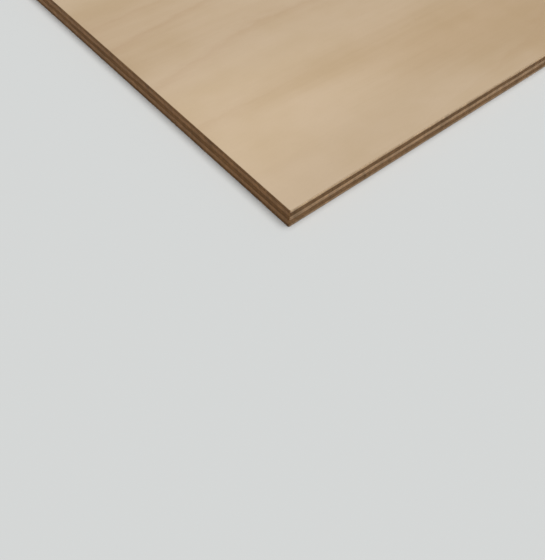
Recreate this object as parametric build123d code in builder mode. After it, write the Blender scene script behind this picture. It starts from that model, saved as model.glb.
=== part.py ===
from build123d import *
import os

# A sheet of five-ply birch plywood, lying flat. Sizes are in millimetres and +Z is up.
# The origin is under the middle of the sheet, on the surface that it lies on.
# X runs along the grain of the face, core and back veneers, and Y along the grain of the two crossbands.

# Driving dimensions
sheet_length = 300.0  # sawn size along the face grain
sheet_width = 300.0  # sawn size across the face grain
core_thickness = 1.35  # middle veneer, as pressed
crossband_thickness = 1.35  # the two veneers whose grain runs across, as pressed
peeled_thickness = 1.35  # face and back veneers as pressed, before the sheet is sanded
sanded_off = 0.375  # what the sander takes off the face, and as much off the back
corner_radius = 0.5  # sawn corners seen from above, with their sharp tip worn off
arris_radius = 0.15  # sharpness taken off where the face and the back meet the sawn edges

# The lay-up from the floor up: name, thickness in the finished sheet, and the side that was sanded.
# The grain of each veneer crosses that of the next, and the two halves mirror each other about the core.
outer_thickness = peeled_thickness - sanded_off
lay_up = [
    ("back_veneer", outer_thickness, -Axis.Z),
    ("lower_crossband", crossband_thickness, None),
    ("core_veneer", core_thickness, None),
    ("upper_crossband", crossband_thickness, None),
    ("face_veneer", outer_thickness, Axis.Z),
]


def make_veneer(name, underside, thickness, sanded_side):
    """One veneer in its place in the sheet. The saw cuts all five at once, so they share one outline."""
    with BuildPart() as veneer:
        with BuildSketch(Plane.XY.offset(underside)):
            RectangleRounded(sheet_length, sheet_width, corner_radius)
        extrude(amount=thickness)
        if sanded_side is not None:
            sanded_face = veneer.faces().sort_by(sanded_side)[-1]
            fillet(sanded_face.edges(), radius=arris_radius)
    veneer.part.label = name
    export_step(veneer.part, f"parts/{name}.step")


os.makedirs("parts", exist_ok=True)

# Each veneer lies face to face on the one below it, with no room left for the glue, which is a film.
height = 0.0
for name, thickness, sanded_side in lay_up:
    make_veneer(name, height, thickness, sanded_side)
    height += thickness
print(f"finished thickness {height:.2f} mm")
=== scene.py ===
import math
from collections import namedtuple

import bpy
from mathutils import Matrix, Vector, noise


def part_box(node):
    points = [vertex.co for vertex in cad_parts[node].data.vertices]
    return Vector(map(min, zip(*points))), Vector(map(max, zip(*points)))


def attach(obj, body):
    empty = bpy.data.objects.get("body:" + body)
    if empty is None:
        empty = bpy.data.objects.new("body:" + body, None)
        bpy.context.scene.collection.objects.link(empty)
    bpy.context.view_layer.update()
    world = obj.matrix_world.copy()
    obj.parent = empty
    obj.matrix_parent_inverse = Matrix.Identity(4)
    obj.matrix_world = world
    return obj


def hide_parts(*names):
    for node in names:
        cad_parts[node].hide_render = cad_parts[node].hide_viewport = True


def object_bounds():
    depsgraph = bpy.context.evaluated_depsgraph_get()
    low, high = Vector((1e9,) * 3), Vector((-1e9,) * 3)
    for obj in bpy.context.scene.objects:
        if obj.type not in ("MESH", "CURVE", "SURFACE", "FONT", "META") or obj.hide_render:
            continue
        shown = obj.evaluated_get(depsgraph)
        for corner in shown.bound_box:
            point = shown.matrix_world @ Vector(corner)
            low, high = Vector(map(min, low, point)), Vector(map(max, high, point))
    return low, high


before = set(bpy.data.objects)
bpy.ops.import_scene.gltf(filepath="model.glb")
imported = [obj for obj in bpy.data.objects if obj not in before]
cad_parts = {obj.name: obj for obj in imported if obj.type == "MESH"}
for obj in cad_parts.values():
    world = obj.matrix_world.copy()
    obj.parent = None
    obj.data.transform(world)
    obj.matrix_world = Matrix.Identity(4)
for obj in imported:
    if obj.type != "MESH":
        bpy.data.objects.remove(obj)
cad_low, cad_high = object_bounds()

# A sheet of five-ply birch plywood, lying flat. The frame's five veneers give its sizes, and this script
# gives it its looks. Lengths are in metres, and X is the grain of the outer veneers and the core.
MM = 0.001

# The photograph's frame and camera, from the vanishing points of the sheet's edges
PHOTO_WIDTH = 545
PHOTO_HEIGHT = 560
SENSOR = 36.0
FOCAL_PIXELS = 671.6
VIEW_AZIMUTH = math.radians(45.19)
VIEW_PITCH = math.radians(53.43)
VIEW_ROLL = math.radians(5.08)
CORNER_PIXEL = (290.4, 210.95)
LENS_OVER_FACE = 118.0 * MM
NEAREST_SEEN = 0.01
FARTHEST_SEEN = 100.0

# The sky, the sun and the floor. The floor has one colour to look at and a browner one that it lights with.
SKY_COLOUR = (1.0, 1.0, 1.0, 1.0)
SKY_LIGHT = 0.14
SUN_LIGHT = 0.86
SUN_AZIMUTH = math.radians(-45.0)
SUN_ELEVATION = math.radians(83.0)
SUN_SPREAD = math.radians(42.0)
FLOOR_REACH = 20.0
FLOOR_COLOUR = (0.665, 0.68, 0.675, 1.0)
FLOOR_BOUNCE = (0.4, 0.29, 0.18, 1.0)
FLOOR_ROUGHNESS = 0.8

# The veneers from the floor up: the record's slot that a veneer takes its finish from, whether its grain
# runs across that of the face, and the colours of its sawn edges along its grain and across it. These edge
# colours are partly painted light. The face veneer's near-white edge along its grain is a painted highlight
# on the top of the sawn edge, and the back veneer's darker one is painted shade at the foot of the edge.
# The crossbands' side grain, which shows on the edges across the face's grain, is darker than the core's as
# painted shade. The end grain there is darker partly by its wood and partly as painted shade of the edge
# that faces away from the sun. Here and below, a colour is written as in a picture, from 0 to 255.
Veneer = namedtuple("Veneer", "name slot grain_across side_colour end_colour")
BACK = Veneer("back_veneer", "outer_veneer", False, (208, 180, 147), (150, 118, 84))
LOWER = Veneer("lower_crossband", "crossband", True, (180, 145, 108), (164, 133, 100))
CORE = Veneer("core_veneer", "core", False, (218, 190, 157), (150, 117, 82))
UPPER = Veneer("upper_crossband", "crossband", True, (178, 143, 106), (152, 123, 92))
FACE = Veneer("face_veneer", "outer_veneer", False, (250, 226, 193), (162, 130, 96))
LAY_UP = (BACK, LOWER, CORE, UPPER, FACE)
FIRST_SEED = 1.0
SEED_STEP = 2.37

# Which piece of the peeled ribbon an outer veneer is: the seed of its rings, the seed of the rest of its
# figure, a shift along and across the grain, and how light it is
Figure = namedtuple("Figure", "rings_seed seed shift tone")
FACE_FIGURE = Figure(178.6, 15.8, (0.0, 27 * MM), 1.0)
BACK_FIGURE = Figure(45.4, 45.4, (0.0, 0.0), 0.97)

# Colours of a sanded face: its two shades, two faint tints that it is multiplied with in broad, soft areas,
# and its late wood. The last colour is that of the glue.
PINKISH = (204, 181, 152)
YELLOWISH = (200, 176, 144)
WARM = (240, 234, 224)
DULL = (243, 242, 241)
LATE_WOOD = (158, 120, 84)
GLUE = (86, 58, 38)

# A pattern of noise in the wood: its size in millimetres along the grain, across it and through the sheet,
# a seed that is added to its veneer's own where veneers differ, how much finer detail it has and how rough
# that is, how much it lightens the wood, and the level of it that changes nothing
PATTERN_DEFAULTS = (0.0, 2.0, 0.5, 0.0, 0.5)
Pattern = namedtuple("Pattern", "size seed detail roughness light level", defaults=PATTERN_DEFAULTS)

# A size through the sheet at which a pattern is as good as the same all through it, and how far a seed of 1
# shifts a pattern each way, in sizes of the pattern
FLAT = 1000.0
SEED_SPREAD = (1.0, 1.7, 2.3)

# Growth rings of a veneer that was peeled off a round log: their depth, how far it slants through them, how
# far they wave in long and in short waves, and how much late wood there is from one ring to the next
RING_DEPTH = 1.9 * MM
RING_SLANT = 0.11
LONG_WAVES = Pattern((380, 75, FLAT), roughness=0.4)
LONG_WAVE_HEIGHT = 16.0 * MM
SHORT_WAVES = Pattern((9, 3, FLAT), 3.1, detail=3.0, roughness=0.65)
SHORT_WAVE_HEIGHT = 0.5 * MM
RING_STOPS = ((0.0, 0.85), (0.035, 0.4), (0.1, 0.0), (0.6, 0.0), (0.84, 0.25), (0.95, 0.8), (1.0, 0.95))

# A sanded face. A range runs from the level of a pattern where something begins to that where it is full.
# The streaks also fray the borders of the dull and the warm areas, which is what their second light is for.
FADING = Pattern((150, 30, FLAT), 261.8, detail=1.0)
FADING_RANGE = (0.35, 0.62)
LATE_SHARE = 0.16
CLOUD = Pattern((70, 22, FLAT), 38.4, light=-0.05)
MOTTLE = Pattern((20, 13, FLAT), 43.1, roughness=0.6, light=-0.03)
STREAKS = Pattern((110, 3.2, FLAT), 7.7, detail=3.0, roughness=0.6, light=0.02)
FIBRE = Pattern((9, 0.22, FLAT), 1.3, detail=3.0, roughness=0.6, light=0.05)
PORES = Pattern((1.5, 0.075, FLAT), 2.2, detail=1.0, light=-0.05, level=0.0)
PORE_RANGE = (0.6, 0.74)
RING_IN_SHADE = 0.1
YELLOW_RANGE = (0.76, 1.36)
DULL_AREAS = Pattern((230, 90, FLAT), 24.7, detail=1.0)
DULL_RANGE = (0.4, 0.6)
WARM_AREAS = Pattern((260, 60, FLAT), 42.2)
WARM_RANGE = (0.44, 0.64)
STREAKS_IN_AREAS = STREAKS._replace(light=0.08)
FACE_SHINE = 0.3
FACE_ROUGHNESS = 0.5
FIBRE_ROUGHNESS = 0.12
PORE_RELIEF = -0.7
FACE_BUMP = (0.35, 0.012 * MM)

# A sawn edge along the grain: fine straight fibres
SIDE_FIBRE = Pattern((14, 14, 0.1), 1.3, detail=3.0, roughness=0.6, light=0.24)
SIDE_FLECKS = Pattern((1.0, 1.0, 0.35), 9.3, detail=3.0, roughness=0.7, light=0.4, level=0.1)
SIDE_PATCH = Pattern((22, 22, 1.5), 6.1, detail=4.0, roughness=0.6, light=0.7)
SIDE_MARKS = Pattern((2.2, 2.2, 12), 8.8, detail=4.0, roughness=0.85, light=1.4)
SIDE_LATE_LIGHT = -0.14
SIDE_ROUGHNESS = 0.6

# A sawn edge across the grain: cut pores and rays
END_PORES = Pattern((0.11, 0.11, 0.11), 1.3, roughness=0.6, light=0.3)
END_PORE_RANGE = (0.35, 0.65)
END_RAYS = Pattern((0.16, 0.16, 1.4), 2.9, light=0.24)
END_FLECKS = Pattern((0.5, 0.5, 0.5), 9.3, detail=3.0, roughness=0.7, light=0.75, level=0.1467)
END_PATCH = Pattern((14, 14, 2), 6.1, detail=4.0, roughness=0.65, light=0.8)
END_MARKS = SIDE_MARKS._replace(light=1.2)
END_LATE_LIGHT = -0.2
END_ROUGHNESS = 0.75

# What both kinds of sawn edge share: torn fibres, the slant of the saw's scores, shine and relief
FLECK_RANGE = (0.48, 0.72)
SAW_SLANT = math.radians(14.0)
EDGE_SHINE = 0.2
EDGE_BUMP = (0.5, 0.03 * MM)

# Short cracks that the lathe's knife left: how they slant through the veneer, how far apart and wide they
# are, how far they wander as a share of their spacing, where they are open, and how much painted shade
# darkens the wood in the open cracks
CHECK_SLANT = 1.2
CHECK_SPACING = 1.7 * MM
CHECK_WIDTH = 0.09 * MM
CHECK_WANDER = Pattern((3, 3, 3), 5.5)
WANDER_SHARE = 1.5
CHECK_OPENING = Pattern((1.2, 1.2, 0.5), 7.1, detail=1.0)
OPENING_RANGE = (0.45, 0.6)
CHECK_PAINTED_SHADE = -0.35

# The film of glue: how far it reaches from its line where its pattern is at 1, how much less it reaches
# everywhere, the shares of its reach between which it ends, and how much smoother it is than the wood
GLUE_BREAKS = Pattern((4, 4, FLAT), 4.4, detail=4.0, roughness=0.7)
GLUE_REACH = 0.14 * MM
GLUE_WORN = 0.005 * MM
GLUE_END_RANGE = (0.5, 1.0)
GLUE_SMOOTHNESS = 0.2

# The sawn outline, how its points are spread round it and up it, and the flat rim inside it
CORNER_RADIUS = 0.5 * MM
CORNER_STEPS = 4
COLUMN_STEP = 0.4 * MM
SAWN_ROWS = (0.0, 0.06, 0.16, 0.33, 0.5, 0.67, 0.84, 0.94, 1.0)
RIM = 1.0 * MM

# Peeled veneers never press quite even: how far a glue line rises and falls, the length of its waves, how
# many times shorter its finer waves are and what share of the height they have, what gives each line waves
# of its own, and a distance from glue at which none shows
GLUE_WAVE = 0.09 * MM
GLUE_WAVE_LENGTH = 11 * MM
SHORTER_WAVES = 3.1
SHORTER_SHARE = 0.5
LEVEL_SPREAD = 40
CLEAR_OF_GLUE = 1.0 * MM

# Bumps that the saw left: their depth on side grain and on end grain, the shares of it that are even,
# coarse and fine, the lengths of coarse and of fine ones along the edge and up it, and how far the saw cut
# into a glue line
SIDE_DEPTH = 0.008 * MM
END_DEPTH = 0.022 * MM
DEPTH_SHARES = (0.9, 0.6, 0.4)
COARSE_BUMPS = (2.5 * MM, 1.0 * MM)
FINE_BUMPS = (0.7 * MM, 0.3 * MM)
GLUE_DEPTH = 0.02 * MM

# The arris of a sanded veneer: its size along the grain and across it, its steps and those of them that are
# sanded, how much its size wanders, and its long worn spots and short chips, each with a length, the noise
# where they begin and a depth. The seed sets the spots apart from the chips.
ARRIS_ALONG = 0.3 * MM
ARRIS_ACROSS = 0.15 * MM
ARRIS_STEPS = 3
SANDED_STEPS = 2
ARRIS_WANDER = 0.35
WORN_SPOTS = (9 * MM, 0.3, 0.25 * MM)
WORN_SEED = 7
CHIPS = (0.9 * MM, 0.28, 0.45 * MM)

# The square image that a piece's finish may be baked to, in shares of its side: a large face, the margins,
# the height of a strip of sawn edge, how many strips each side of an inner veneer is cut into, and the
# small square and the shift of a flat that is glued up and never shows
FACE_SHARE = 0.86
MARGIN = 0.006
STRIP = 0.055
STRIPS_A_SIDE = 4
HIDDEN_SHARE = 0.1
HIDDEN_SHIFT = 0.11


def direction(azimuth, elevation):
    """A way of length 1, from its angle round Z and its angle over the floor."""
    level = math.cos(elevation)
    return Vector((math.cos(azimuth) * level, math.sin(azimuth) * level, math.sin(elevation)))


def make_camera():
    """The camera that took the photograph, put where the near corner of the face falls on its pixel."""
    forward = direction(VIEW_AZIMUTH, -VIEW_PITCH)
    level_right = forward.cross(Vector((0, 0, 1))).normalized()
    level_up = level_right.cross(forward)
    right = level_right * math.cos(VIEW_ROLL) + level_up * math.sin(VIEW_ROLL)
    up = right.cross(forward)
    across = (CORNER_PIXEL[0] - PHOTO_WIDTH / 2) / FOCAL_PIXELS
    down = (CORNER_PIXEL[1] - PHOTO_HEIGHT / 2) / FOCAL_PIXELS
    sight = forward + right * across - up * down
    corner = Vector((cad_low.x, cad_low.y, cad_high.z))
    place = corner + sight * (LENS_OVER_FACE / sight.z)
    turn = Matrix((right, up, -forward)).transposed().to_4x4()
    camera = bpy.data.objects.new("camera", bpy.data.cameras.new("camera"))
    camera.data.sensor_width = SENSOR
    camera.data.lens = FOCAL_PIXELS / max(PHOTO_WIDTH, PHOTO_HEIGHT) * SENSOR
    camera.data.clip_start = NEAREST_SEEN
    camera.data.clip_end = FARTHEST_SEEN
    camera.matrix_world = Matrix.Translation(place) @ turn
    bpy.context.collection.objects.link(camera)
    bpy.context.scene.camera = camera


# The sockets of a Mix node that are for colours
MIX_FACTOR = 0
MIX_A = 6
MIX_B = 7
MIX_RESULT = 2


class Nodes:
    """A node tree under construction. Most methods add nodes and return their output."""

    def __init__(self, tree):
        self.tree = tree

    def add(self, kind, inputs, **settings):
        node = self.tree.nodes.new(kind)
        for key, value in settings.items():
            setattr(node, key, value)
        for key, value in inputs.items():
            self.set(node.inputs[key], value)
        return node

    def set(self, socket, value):
        if isinstance(value, bpy.types.NodeSocket):
            self.tree.links.new(value, socket)
        else:
            socket.default_value = value

    def math(self, operation, a, b=0.0, c=0.0):
        return self.add("ShaderNodeMath", {0: a, 1: b, 2: c}, operation=operation).outputs[0]

    def steps(self, value, reach, to_low=0.0, to_high=1.0):
        """Runs smoothly from to_low to to_high as value goes through its range."""
        low, high = reach
        inputs = {"Value": value, "From Min": low, "From Max": high, "To Min": to_low, "To Max": to_high}
        return self.add("ShaderNodeMapRange", inputs, interpolation_type="SMOOTHSTEP").outputs[0]

    def seen(self):
        """1 where the camera, a mirror or a window sees the surface, and 0 where it gives light."""
        rays = self.add("ShaderNodeLightPath", {}).outputs
        either = self.math("MAXIMUM", rays["Is Camera Ray"], rays["Is Glossy Ray"])
        return self.math("MAXIMUM", either, rays["Is Transmission Ray"])


class Shader(Nodes):
    """A material under construction."""

    def __init__(self, name):
        self.material = bpy.data.materials.new(name)
        self.material.use_nodes = True
        super().__init__(self.material.node_tree)
        self.surface = self.tree.nodes["Principled BSDF"]

    def noise(self, place, pattern, seed=0.0):
        """The level of a pattern at a place, around 0.5."""
        scale = tuple(1.0 / (size * MM) for size in pattern.size)
        shift = tuple((seed + pattern.seed) * spread for spread in SEED_SPREAD)
        scaled = self.add("ShaderNodeVectorMath", {0: place, 1: scale, 2: shift}, operation="MULTIPLY_ADD")
        inputs = {
            "Vector": scaled.outputs[0],
            "Scale": 1.0,
            "Detail": pattern.detail,
            "Roughness": pattern.roughness,
        }
        return self.add("ShaderNodeTexNoise", inputs).outputs[0]

    def lighten(self, light, pattern, level):
        """The light on the wood with a pattern's own light added."""
        rest = self.math("SUBTRACT", light, pattern.light * pattern.level)
        return self.math("MULTIPLY_ADD", level, pattern.light, rest)

    def blend(self, factor, a, b, kind="MIX"):
        inputs = {MIX_FACTOR: factor, MIX_A: a, MIX_B: b}
        return self.add("ShaderNodeMix", inputs, data_type="RGBA", blend_type=kind).outputs[MIX_RESULT]

    def grey(self, level):
        return self.add("ShaderNodeCombineColor", {0: level, 1: level, 2: level}).outputs[0]

    def ramp(self, factor, stops):
        node = self.add("ShaderNodeValToRGB", {0: factor})
        elements = node.color_ramp.elements
        while len(elements) < len(stops):
            elements.new(0.5)
        for element, (place, level) in zip(elements, stops, strict=True):
            element.position = place
            element.color = (level, level, level, 1.0)
        return node.outputs[0]

    def finish(self, colour, shine, roughness, relief, bump):
        """Joins all that makes up the surface, and returns the material."""
        strength, distance = bump
        normal = self.add("ShaderNodeBump", {"Height": relief, "Strength": strength, "Distance": distance})
        self.set(self.surface.inputs["Base Color"], colour)
        self.set(self.surface.inputs["Specular IOR Level"], shine)
        self.set(self.surface.inputs["Roughness"], roughness)
        self.set(self.surface.inputs["Normal"], normal.outputs[0])
        return self.material


def srgb(colour, tone=1.0):
    """A picture's colour, made lighter or darker by a tone, as a shader needs it: by the sRGB curve."""
    levels = []
    for number in colour:
        share = number * tone / 255
        levels.append(share / 12.92 if share <= 0.04045 else ((share + 0.055) / 1.055) ** 2.4)
    return (*levels, 1.0)


def grain_place(shader, grain_across, shift=(0.0, 0.0)):
    """Coordinates along the grain, across it and through the sheet, from a shifted origin."""
    place = shader.add("ShaderNodeTexCoord", {}).outputs["Object"]
    parts = shader.add("ShaderNodeSeparateXYZ", {0: place}).outputs
    along, across = (parts[1], parts[0]) if grain_across else (parts[0], parts[1])
    along = shader.math("SUBTRACT", along, shift[0])
    across = shader.math("SUBTRACT", across, shift[1])
    return shader.add("ShaderNodeCombineXYZ", {0: along, 1: across, 2: parts[2]}).outputs[0]


def ring_phase(shader, place, seed):
    """How far each point lies from one ring's late wood to the next, from 0 to 1."""
    parts = shader.add("ShaderNodeSeparateXYZ", {0: place}).outputs
    height = shader.math("MULTIPLY_ADD", shader.noise(place, LONG_WAVES, seed), LONG_WAVE_HEIGHT, parts[2])
    height = shader.math("MULTIPLY_ADD", shader.noise(place, SHORT_WAVES, seed), SHORT_WAVE_HEIGHT, height)
    height = shader.math("MULTIPLY_ADD", parts[1], RING_SLANT, height)
    return shader.math("FRACT", shader.math("DIVIDE", height, RING_DEPTH))


def face_wood(name, figure):
    """The sanded, unfinished face of an outer veneer, with its grain along X."""
    shader = Shader(name)
    seed = figure.seed
    place = grain_place(shader, False, figure.shift)
    phase = ring_phase(shader, place, figure.rings_seed)
    showing = shader.steps(shader.noise(place, FADING, seed), FADING_RANGE, 0.0, LATE_SHARE)
    late = shader.math("MULTIPLY", shader.ramp(phase, RING_STOPS), showing)
    cloud = shader.noise(place, CLOUD, seed)
    mottle = shader.noise(place, MOTTLE, seed)
    streaks = shader.noise(place, STREAKS, seed)
    fibre = shader.noise(place, FIBRE, seed)
    pores = shader.steps(shader.noise(place, PORES, seed), PORE_RANGE)
    yellow = shader.math("ADD", mottle, shader.math("MULTIPLY_ADD", phase, RING_IN_SHADE, cloud))
    yellow = shader.steps(yellow, YELLOW_RANGE)
    colour = shader.blend(yellow, srgb(PINKISH, figure.tone), srgb(YELLOWISH, figure.tone))
    for areas, reach, tint in ((DULL_AREAS, DULL_RANGE, DULL), (WARM_AREAS, WARM_RANGE, WARM)):
        share = shader.lighten(shader.noise(place, areas, seed), STREAKS_IN_AREAS, streaks)
        colour = shader.blend(shader.steps(share, reach), colour, srgb(tint), "MULTIPLY")
    light = shader.lighten(1.0, CLOUD, cloud)
    light = shader.lighten(light, MOTTLE, mottle)
    light = shader.lighten(light, STREAKS, streaks)
    light = shader.lighten(light, FIBRE, fibre)
    light = shader.lighten(light, PORES, pores)
    colour = shader.blend(1.0, colour, shader.grey(light), "MULTIPLY")
    colour = shader.blend(late, colour, srgb(LATE_WOOD, figure.tone))
    roughness = shader.math("MULTIPLY_ADD", fibre, FIBRE_ROUGHNESS, FACE_ROUGHNESS)
    relief = shader.math("MULTIPLY_ADD", pores, PORE_RELIEF, fibre)
    return shader.finish(colour, FACE_SHINE, roughness, relief, FACE_BUMP)


def glue_film(shader, place):
    """How much of the dark glue line shows, from its distance and from how well the saw left it."""
    distance = shader.add("ShaderNodeAttribute", {}, attribute_name="glue_distance").outputs["Fac"]
    reach = shader.math("MULTIPLY_ADD", shader.noise(place, GLUE_BREAKS), GLUE_REACH, -GLUE_WORN)
    return shader.steps(shader.math("DIVIDE", distance, reach), GLUE_END_RANGE, 1.0, 0.0)


def saw_marks(shader):
    """Faint slanted scores that one saw cut leaves across all the veneers."""
    place = shader.add("ShaderNodeTexCoord", {}).outputs["Object"]
    slanted = shader.add("ShaderNodeMapping", {"Vector": place, "Rotation": (SAW_SLANT, SAW_SLANT, 0.0)})
    return shader.noise(slanted.outputs[0], SIDE_MARKS)


def lathe_checks(shader, place, seed):
    """Where a veneer shows the cracks that the lathe's knife left in it, from 0 to 1."""
    parts = shader.add("ShaderNodeSeparateXYZ", {0: place}).outputs
    course = shader.math("MULTIPLY_ADD", parts[2], CHECK_SLANT, parts[1])
    wander = shader.noise(place, CHECK_WANDER, seed)
    course = shader.math("MULTIPLY_ADD", wander, WANDER_SHARE * CHECK_SPACING, course)
    cycle = shader.math("PINGPONG", course, CHECK_SPACING / 2)
    opening = shader.steps(shader.noise(place, CHECK_OPENING, seed), OPENING_RANGE)
    return shader.steps(cycle, (0.0, CHECK_WIDTH), opening, 0.0)


def side_grain(name, veneer, seed):
    """A sawn edge along the grain: fine straight fibres and the growth rings seen from the side."""
    shader = Shader(name)
    place = grain_place(shader, veneer.grain_across)
    late = shader.ramp(ring_phase(shader, place, seed), RING_STOPS)
    fibre = shader.noise(place, SIDE_FIBRE, seed)
    marks = saw_marks(shader)
    light = shader.lighten(1.0, SIDE_FIBRE, fibre)
    flecks = shader.steps(shader.noise(place, SIDE_FLECKS, seed), FLECK_RANGE)
    light = shader.lighten(light, SIDE_FLECKS, flecks)
    light = shader.lighten(light, SIDE_PATCH, shader.noise(place, SIDE_PATCH, seed))
    light = shader.math("MULTIPLY_ADD", late, SIDE_LATE_LIGHT, light)
    light = shader.lighten(light, SIDE_MARKS, marks)
    relief = shader.math("ADD", fibre, marks)
    return finish_edge(shader, place, veneer.side_colour, light, relief, SIDE_ROUGHNESS)


def end_grain(name, veneer, seed):
    """A sawn edge across the grain: cut pores and rays, darker and rougher than the side grain."""
    shader = Shader(name)
    place = grain_place(shader, veneer.grain_across)
    late = shader.ramp(ring_phase(shader, place, seed), RING_STOPS)
    pores = shader.noise(place, END_PORES, seed)
    marks = saw_marks(shader)
    checks = lathe_checks(shader, place, seed)
    light = shader.lighten(1.0, END_PORES, shader.steps(pores, END_PORE_RANGE))
    light = shader.lighten(light, END_RAYS, shader.noise(place, END_RAYS, seed))
    flecks = shader.steps(shader.noise(place, END_FLECKS, seed), FLECK_RANGE)
    light = shader.lighten(light, END_FLECKS, flecks)
    light = shader.lighten(light, END_PATCH, shader.noise(place, END_PATCH, seed))
    light = shader.math("MULTIPLY_ADD", late, END_LATE_LIGHT, light)
    light = shader.lighten(light, END_MARKS, marks)
    # Painted shade in the open lathe cracks
    light = shader.math("MULTIPLY_ADD", checks, CHECK_PAINTED_SHADE, light)
    relief = shader.math("SUBTRACT", shader.math("ADD", pores, marks), checks)
    return finish_edge(shader, place, veneer.end_colour, light, relief, END_ROUGHNESS)


def finish_edge(shader, place, colour, light, relief, roughness):
    """The finish of a sawn edge, with the glue line over its wood."""
    # The edge colour carries painted light and shade: a painted highlight on the face veneer's edge,
    # painted shade on the back veneer's edge and on the darkened plies.
    wood = shader.blend(1.0, srgb(colour), shader.grey(light), "MULTIPLY")
    glue = glue_film(shader, place)
    colour = shader.blend(glue, wood, srgb(GLUE))
    roughness = shader.math("MULTIPLY_ADD", glue, -GLUE_SMOOTHNESS, roughness)
    return shader.finish(colour, EDGE_SHINE, roughness, relief, EDGE_BUMP)


# A point of the sawn outline: its place, the way out of the sheet there, its side and its distance along it
Column = namedtuple("Column", "place out side along")


def outline_columns():
    """The columns of points round the sawn outline, from the near corner on."""
    half_x = cad_high.x - CORNER_RADIUS
    half_y = cad_high.y - CORNER_RADIUS
    corners = [(-half_x, -half_y), (half_x, -half_y), (half_x, half_y), (-half_x, half_y)]
    columns = []
    for side, corner in enumerate(corners):
        start = Vector(corner)
        end = Vector(corners[(side + 1) % len(corners)])
        length = (end - start).length
        run = (end - start) / length
        out = Vector((run.y, -run.x))
        count = round(length / COLUMN_STEP)
        for step in range(count + 1):
            along = length * step / count
            columns.append(Column(start + run * along + out * CORNER_RADIUS, out, side, along))
        for step in range(1, CORNER_STEPS):
            turn = math.pi / 2 * step / CORNER_STEPS
            way = out * math.cos(turn) + run * math.sin(turn)
            columns.append(Column(end + way * CORNER_RADIUS, way, side, length + CORNER_RADIUS * turn))
    return columns


COLUMNS = outline_columns()
SIDE_LENGTH = max(column.along for column in COLUMNS)


def glue_height(level, place):
    """Height of the glue line near a level, at a place on the sawn edge."""
    spot = Vector((place.x, place.y, level * LEVEL_SPREAD)) / GLUE_WAVE_LENGTH
    return level + GLUE_WAVE * (noise.noise(spot) + SHORTER_SHARE * noise.noise(spot * SHORTER_WAVES))


def bump_level(place, height, sizes):
    """Noise at a point of the sawn edge, from -1 to 1, in bumps of a length along the edge and up it."""
    along, up = sizes
    return noise.noise(Vector((place.x / along, place.y / along, height / up)))


def sawn_depth(place, height, depth):
    """How far the saw cut in at a point, past the flat plane of the edge."""
    even, coarse, fine = DEPTH_SHARES
    coarse *= bump_level(place, height, COARSE_BUMPS)
    fine *= bump_level(place, height, FINE_BUMPS)
    return depth * (even + coarse + fine)


def arris_size(place, out, seed):
    """How much of the arris is worn or chipped off: rounder along the grain, more splintered across it."""
    across = abs(out.x)
    chip_length, chip_start, chip_depth = CHIPS
    worn_length, worn_start, worn_depth = WORN_SPOTS
    chip = noise.noise(Vector((place.x / chip_length, place.y / chip_length, seed)))
    worn = noise.noise(Vector((place.x / worn_length, place.y / worn_length, seed + WORN_SEED)))
    size = (ARRIS_ALONG + (ARRIS_ACROSS - ARRIS_ALONG) * across) * (1.0 + ARRIS_WANDER * worn)
    size += max(0.0, chip - chip_start) * chip_depth * across
    return size + max(0.0, worn - worn_start) * worn_depth


def edge_profile(veneer, low, high, column):
    """The section of a veneer at one column, from its lower flat to its upper one.

    Each point has its inset from the flat plane of the edge, its height and its distance from glue.
    """
    place = column.place
    out = column.out
    end_on = abs(out.y) if veneer.grain_across else abs(out.x)
    rough = SIDE_DEPTH + (END_DEPTH - SIDE_DEPTH) * end_on
    arris = arris_size(place, out, high / MM) if veneer in (BACK, FACE) else 0.0
    bottom = low + arris if veneer is BACK else glue_height(low, place)
    top = high - arris if veneer is FACE else glue_height(high, place)
    points = []
    for share in SAWN_ROWS:
        height = bottom + (top - bottom) * share
        over_glue = CLEAR_OF_GLUE if veneer is BACK else height - bottom
        under_glue = CLEAR_OF_GLUE if veneer is FACE else top - height
        glue = min(over_glue, under_glue)
        depth = GLUE_DEPTH if glue == 0.0 else sawn_depth(place, height, rough)
        points.append((depth, height, glue))
    arc = []
    for step in range(1, ARRIS_STEPS + 1):
        turn = math.pi / 2 * step / ARRIS_STEPS
        arc.append((arris * (1 - math.cos(turn)), arris * math.sin(turn)))
    first_depth = points[0][0]
    last_depth = points[-1][0]
    if veneer is FACE:
        points += [(last_depth + inset, top + rise, CLEAR_OF_GLUE) for inset, rise in arc]
    if veneer is BACK:
        below = [(first_depth + inset, bottom - rise, CLEAR_OF_GLUE) for inset, rise in reversed(arc)]
        points = below + points
    return [(RIM, low, CLEAR_OF_GLUE), *points, (RIM, high, CLEAR_OF_GLUE)]


def inset_place(place, inset):
    """A point of the outline moved in by an inset, so that rings never cross at the corners."""
    return (
        place.x * (cad_high.x - inset) / cad_high.x,
        place.y * (cad_high.y - inset) / cad_high.y,
    )


def sanded_bands(veneer, rows):
    """The bands between rows that have the finish of the flats: both rims, and most of a sanded arris."""
    bands = {0, rows - 2}
    if veneer is FACE:
        bands |= set(range(rows - 2 - SANDED_STEPS, rows - 2))
    if veneer is BACK:
        bands |= set(range(1, 1 + SANDED_STEPS))
    return bands


def edge_slot(veneer, column):
    """The material slot of the sawn edge at a column: 1 along the veneer's grain, and 2 across it."""
    out_is_x = abs(column.out.x) > abs(column.out.y)
    return 2 if out_is_x != veneer.grain_across else 1


def strip_place(outer, side, part, along, across):
    """A point of a sawn edge on the image.

    An outer veneer has one strip a side, two on the right of its face and two above it. An inner one has
    rows of shorter strips.
    """
    if outer:
        offset = FACE_SHARE + 2 * MARGIN + (side % 2) * (STRIP + MARGIN) + across * STRIP
        length = MARGIN + along * (FACE_SHARE - MARGIN)
        return (offset, length) if side < 2 else (length, offset)
    row = side * STRIPS_A_SIDE + part
    length = MARGIN + (along * STRIPS_A_SIDE - part) * (1 - 2 * MARGIN)
    return (length, MARGIN + row * STRIP + across * (STRIP - MARGIN / 2))


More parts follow.
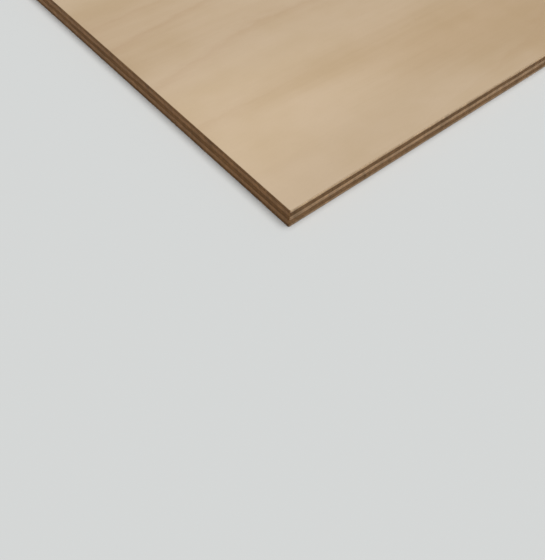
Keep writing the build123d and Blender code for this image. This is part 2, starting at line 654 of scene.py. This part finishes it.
def quad_places(outer, column, after, row, rows):
    """The four corners of a quad of the sawn edge on the image."""
    start = column.along / SIDE_LENGTH
    end = after.along / SIDE_LENGTH if after.side == column.side else 1.0
    part = min(int((start + end) / 2 * STRIPS_A_SIDE), STRIPS_A_SIDE - 1)
    start = max(start, part / STRIPS_A_SIDE)
    end = min(end, (part + 1) / STRIPS_A_SIDE)
    corners = ((start, row), (end, row), (end, row + 1), (start, row + 1))
    return [strip_place(outer, column.side, part, along, level / (rows - 1)) for along, level in corners]


def flat_place(point, outer, shown, upper):
    """A point of a flat on the image: large where it shows, and small where it never does."""
    x = point[0] / (2 * cad_high.x) + 0.5
    y = point[1] / (2 * cad_high.y) + 0.5
    if shown:
        return (MARGIN + x * (FACE_SHARE - MARGIN), MARGIN + y * (FACE_SHARE - MARGIN))
    corner = FACE_SHARE + 2 * MARGIN if outer else 1 - HIDDEN_SHARE - MARGIN
    shift = 0.0 if outer or upper else HIDDEN_SHIFT
    return (corner - shift + x * HIDDEN_SHARE, corner + y * HIDDEN_SHARE)


def veneer_piece(veneer, materials):
    """A veneer as the saw left it: its two flats, its four sawn edges and the arris of an outer one.

    The materials are those of its flats and of its sawn edges along its grain and across it.
    """
    low, high = (corner.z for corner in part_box(veneer.name))
    outer = veneer in (BACK, FACE)
    sections = [edge_profile(veneer, low, high, column) for column in COLUMNS]
    count = len(COLUMNS)
    rows = len(sections[0])
    points = []
    glue = []
    for row in range(rows):
        for column, section in zip(COLUMNS, sections, strict=True):
            inset, height, distance = section[row]
            points.append((*inset_place(column.place, inset), height))
            glue.append(distance)
    faces = []
    slots = []
    places = []
    sanded = sanded_bands(veneer, rows) if outer else set()
    for row in range(rows - 1):
        lower = row * count
        upper = lower + count
        for index, column in enumerate(COLUMNS):
            after = (index + 1) % count
            faces.append((lower + index, lower + after, upper + after, upper + index))
            slots.append(0 if row in sanded else edge_slot(veneer, column))
            places += quad_places(outer, column, COLUMNS[after], row, rows)
    for row, shown in ((0, veneer is BACK), (rows - 1, veneer is FACE)):
        ring = [row * count + index for index in range(count)]
        if row == 0:
            ring.reverse()
        faces.append(ring)
        slots.append(0)
        places += [flat_place(points[index], outer, shown, row > 0) for index in ring]
    mesh = bpy.data.meshes.new(veneer.name + "_wood")
    mesh.from_pydata(points, [], faces)
    mesh.polygons.foreach_set("material_index", slots)
    mesh.polygons.foreach_set("use_smooth", [True] * len(faces))
    mesh.attributes.new("glue_distance", "FLOAT", "POINT").data.foreach_set("value", glue)
    layer = mesh.uv_layers.new(name="OFBake")
    layer.uv.foreach_set("vector", [number for place in places for number in place])
    for material in materials:
        mesh.materials.append(material)
    mesh.update()
    piece = bpy.data.objects.new(veneer.name + "_wood", mesh)
    bpy.context.collection.objects.link(piece)
    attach(piece, "root")
    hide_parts(veneer.name)


def make_sheet():
    """All five veneers, each with its own figure and the colours of its sawn edges."""
    for number, veneer in enumerate(LAY_UP):
        seed = SEED_STEP * number + FIRST_SEED
        side = side_grain(veneer.name + "_side_grain", veneer, seed)
        end = end_grain(veneer.name + "_end_grain", veneer, seed)
        flat = side
        if veneer is FACE:
            flat = face_wood("face_birch", FACE_FIGURE)
        if veneer is BACK:
            flat = face_wood("back_birch", BACK_FIGURE)
        veneer_piece(veneer, [flat, side, end])


def make_floor():
    """A pale floor that looks light to the camera and gives the sheet no more light than a wooden one."""
    mesh = bpy.data.meshes.new("floor")
    corners = [
        (-FLOOR_REACH, -FLOOR_REACH, 0),
        (FLOOR_REACH, -FLOOR_REACH, 0),
        (FLOOR_REACH, FLOOR_REACH, 0),
        (-FLOOR_REACH, FLOOR_REACH, 0),
    ]
    mesh.from_pydata(corners, [], [(0, 1, 2, 3)])
    shader = Shader("floor")
    colour = shader.blend(shader.seen(), FLOOR_BOUNCE, FLOOR_COLOUR)
    shader.set(shader.surface.inputs["Base Color"], colour)
    shader.set(shader.surface.inputs["Roughness"], FLOOR_ROUGHNESS)
    shader.set(shader.surface.inputs["Specular IOR Level"], 0.0)
    mesh.materials.append(shader.material)
    floor = bpy.data.objects.new("floor", mesh)
    bpy.context.collection.objects.link(floor)


def make_light():
    """An even sky and a soft sun high up on the camera's right, which light a level face at 1 together."""
    world = bpy.data.worlds.new("studio")
    bpy.context.scene.world = world
    world.use_nodes = True
    shader = Nodes(world.node_tree)
    sky = shader.tree.nodes["Background"]
    shader.set(sky.inputs["Color"], SKY_COLOUR)
    shader.set(sky.inputs["Strength"], SKY_LIGHT)
    backdrop = shader.add("ShaderNodeBackground", {"Color": FLOOR_COLOUR})
    mix = shader.add("ShaderNodeMixShader", {0: shader.seen(), 1: sky.outputs[0], 2: backdrop.outputs[0]})
    shader.set(shader.tree.nodes["World Output"].inputs["Surface"], mix.outputs[0])
    sun = bpy.data.objects.new("sun", bpy.data.lights.new("sun", "SUN"))
    sun.data.angle = SUN_SPREAD
    sun.data.energy = SUN_LIGHT * math.pi / math.sin(SUN_ELEVATION)
    sun.rotation_euler = direction(SUN_AZIMUTH, SUN_ELEVATION).to_track_quat("Z", "Y").to_euler()
    bpy.context.collection.objects.link(sun)


make_camera()
make_floor()
make_light()
make_sheet()
bpy.context.scene.view_settings.view_transform = "Standard"
